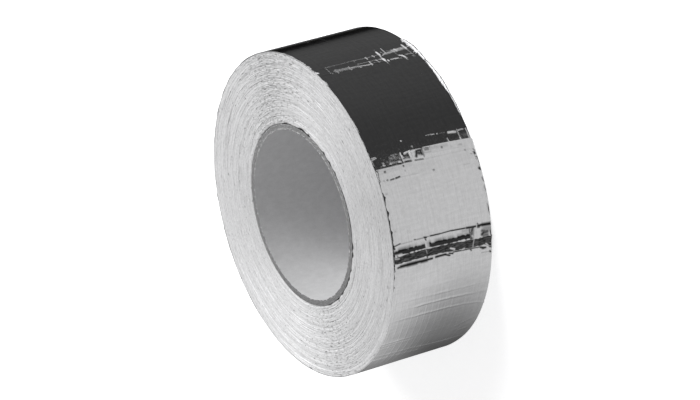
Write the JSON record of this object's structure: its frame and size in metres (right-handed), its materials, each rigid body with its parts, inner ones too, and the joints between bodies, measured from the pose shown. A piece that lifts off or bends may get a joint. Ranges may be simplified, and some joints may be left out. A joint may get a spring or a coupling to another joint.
{
  "type": "roll of aluminium foil tape",
  "caption": "Roll of scrim-reinforced aluminium foil tape wound on a cardboard core, standing on end, with creases across its bright tread.",
  "frame": {"origin": "middle of the lower end of the roll, on the surface it stands on", "axes": "+Z along the roll's axis, up through the core; +X and +Y across the roll, with the tape's free end at 196 degrees from +X"},
  "size_m": [0.145, 0.1449, 0.05],
  "materials": {
    "foil_tape": "bright foil over a scrim weave, with matt cut edges at the ends",
    "core_board": "grey board, matt, smooth in the bore"
  },
  "bodies": {
    "root": {"tape": "foil_tape", "core": "core_board"}
  },
  "joints": []
}
